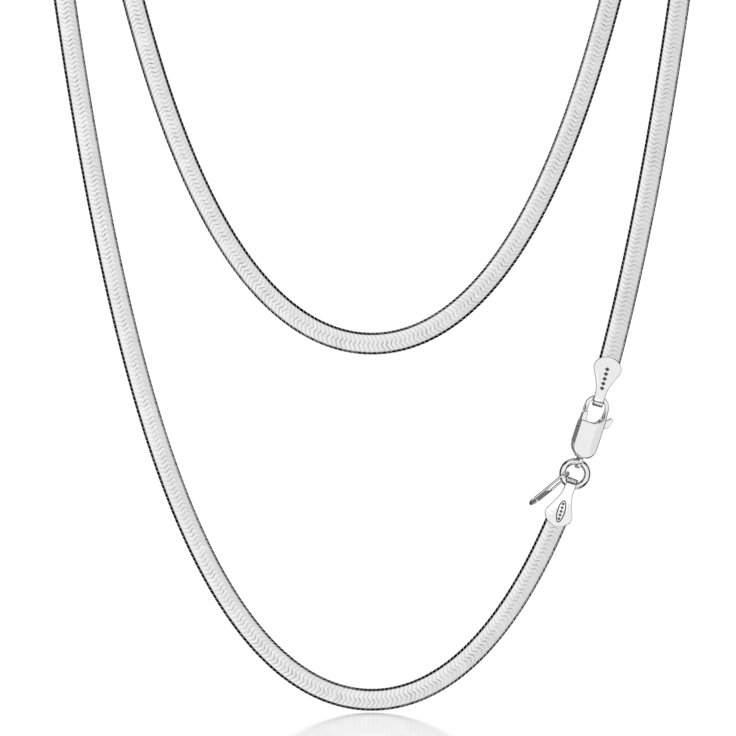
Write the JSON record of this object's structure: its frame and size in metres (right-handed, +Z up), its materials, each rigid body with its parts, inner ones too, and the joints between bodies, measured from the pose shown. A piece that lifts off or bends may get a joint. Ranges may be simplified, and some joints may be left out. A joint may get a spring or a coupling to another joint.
{
  "type": "herringbone chain necklace",
  "caption": "Flat woven silver chain hung over a rod as two swags, with flat end caps, a lobster clasp, a jump ring and a small slotted tag.",
  "frame": {"origin": "middle of the top of the rod that the chain hangs over, level with the undersides of the band's two folds", "axes": "+Z up, +X to the wearer's side that holds the clasp, -Y towards the low front swag with the clasp"},
  "size_m": [0.0992, 0.0152, 0.1233],
  "materials": {
    "band": "polished silver herringbone weave",
    "caps": "polished silver sheet",
    "clasp": "polished cast silver",
    "lever": "polished cast silver",
    "pin": "filed and polished silver",
    "ring": "polished silver wire",
    "tag": "polished silver sheet"
  },
  "bodies": {
    "necklace": {"chain": "band", "end_cap_upper": "caps", "end_cap_lower": "caps", "clasp_body": "clasp", "clasp_pin": "pin", "jump_ring": "ring", "tag": "tag"},
    "lever": {"clasp_lever": "lever"}
  },
  "joints": [
    {"name": "clasp_open", "type": "hinge", "parent": "necklace", "child": "lever", "pos_m": [0.03372, -0.0065, -0.07867], "axis": [-0.2622, 0.9613, 0.0849], "range_deg": [0, 22], "stiffness_Nm_per_rad": 0.004, "springref_deg": -14.32}
  ]
}
